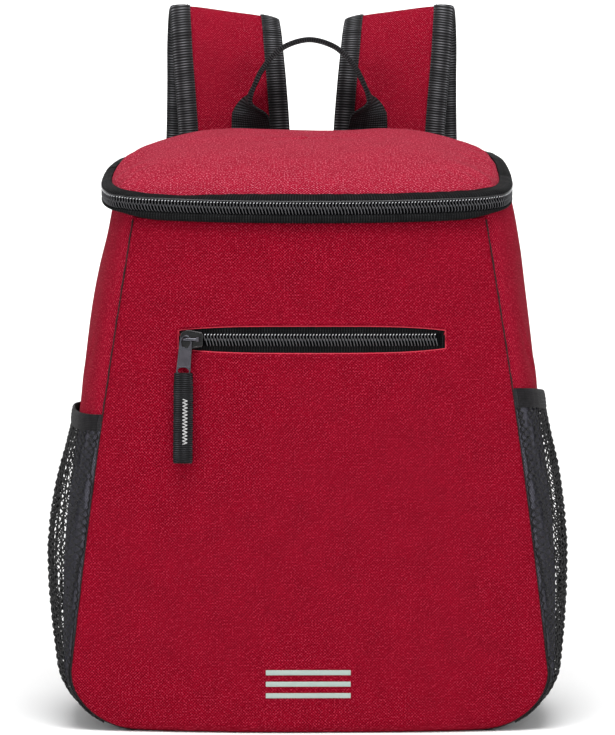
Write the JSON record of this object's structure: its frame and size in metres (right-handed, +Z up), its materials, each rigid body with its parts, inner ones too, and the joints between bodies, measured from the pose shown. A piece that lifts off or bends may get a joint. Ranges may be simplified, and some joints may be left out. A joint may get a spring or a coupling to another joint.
{
  "type": "insulated cooler backpack",
  "caption": "Soft insulated cooler backpack with a domed zip lid, a front zip pocket, mesh side pockets, padded shoulder straps and a top grab handle.",
  "frame": {"origin": "on the resting plane, under the middle of the flat base", "axes": "+Z up through the lid, -Y out of the front with the zip pocket, +Y out of the back with the straps, +X to the right as seen from the front"},
  "size_m": [0.3432, 0.2524, 0.4747],
  "materials": {
    "red_cloth": "two-tone plain weave polyester, matte",
    "dark_cloth": "dark woven polyester, matte",
    "black_webbing": "ribbed polyester webbing and binding",
    "black_net": "knitted net with diamond cells",
    "zip_plastic": "nylon coil",
    "dark_metal": "plated zinc, satin",
    "black_plastic": "moulded, fine grain",
    "reflective_tape": "retroreflective film, pale grey",
    "white_thread": "sewing thread"
  },
  "bodies": {
    "bag": {"front_pocket_panel": "red_cloth", "front_wall": "red_cloth", "side_upper_left": "red_cloth", "side_upper_right": "red_cloth", "side_lower_left": "dark_cloth", "side_lower_right": "dark_cloth", "base_panel": "red_cloth", "back_panel": "dark_cloth", "zip_tape_lower": "black_webbing", "main_zip_chain": "zip_plastic", "lid_hinge_strip": "black_webbing", "zip_tape_upper": "black_webbing", "lid_panel": "red_cloth", "main_zip_slider": "dark_metal", "front_zip_tape": "black_webbing", "front_zip_chain": "zip_plastic", "front_zip_slider": "dark_metal", "reflective_bar_1": "reflective_tape", "reflective_bar_2": "reflective_tape", "reflective_bar_3": "reflective_tape", "pocket_net_left": "black_net", "pocket_net_right": "black_net", "pocket_hem_left": "black_webbing", "pocket_hem_right": "black_webbing", "strap_pad_left": "red_cloth", "strap_pad_right": "red_cloth", "strap_binding_outer_left": "black_webbing", "strap_binding_outer_right": "black_webbing", "strap_binding_inner_left": "black_webbing", "strap_binding_inner_right": "black_webbing", "strap_tab_left": "black_webbing", "strap_tab_right": "black_webbing", "strap_adjuster_left": "black_plastic", "strap_adjuster_right": "black_plastic", "strap_webbing_left": "black_webbing", "strap_webbing_right": "black_webbing", "grab_handle": "black_webbing"},
    "front_puller": {"front_zip_puller": "dark_metal", "front_zip_pull_tape": "black_webbing"}
  },
  "joints": [
    {"name": "front_puller_swing", "type": "hinge", "parent": "bag", "child": "front_puller", "pos_m": [-0.08066, -0.08743, 0.25324], "axis": [-0.1375, -0.989, 0.054], "range_deg": [-120, 40]}
  ]
}
